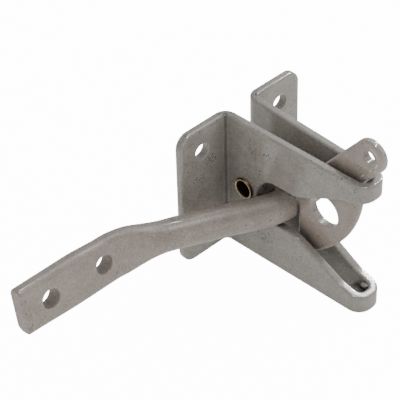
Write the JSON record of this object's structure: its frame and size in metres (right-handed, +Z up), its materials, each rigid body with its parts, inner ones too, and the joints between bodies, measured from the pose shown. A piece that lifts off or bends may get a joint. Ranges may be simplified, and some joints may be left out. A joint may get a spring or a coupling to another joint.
{
  "type": "automatic gate latch",
  "caption": "Folded sheet latch case with a pivoting plate dog that traps the rod of a strike bar bolted to a gate.",
  "frame": {"origin": "on the mounting plane, midway between the two flanges and at half the case's height", "axes": "+X out of the mounting plane towards the nose, +Y from the flange on the gate's side to the far flange, +Z up"},
  "size_m": [0.0668, 0.1237, 0.0684],
  "materials": {
    "case_paint": "satin warm grey",
    "dog_paint": "satin warm grey, a little darker",
    "rivet_metal": "yellow plated, bright rolled rim",
    "bar_paint": "satin warm grey"
  },
  "bodies": {
    "case": {"case": "case_paint", "pivot_rivet": "rivet_metal", "strike_bar": "bar_paint"},
    "latch_dog": {"latch_dog": "dog_paint"}
  },
  "joints": [
    {"name": "dog_lift", "type": "hinge", "parent": "case", "child": "latch_dog", "pos_m": [0.0112, 0, 0], "axis": [0, -1, 0], "range_deg": [0, 50]}
  ]
}
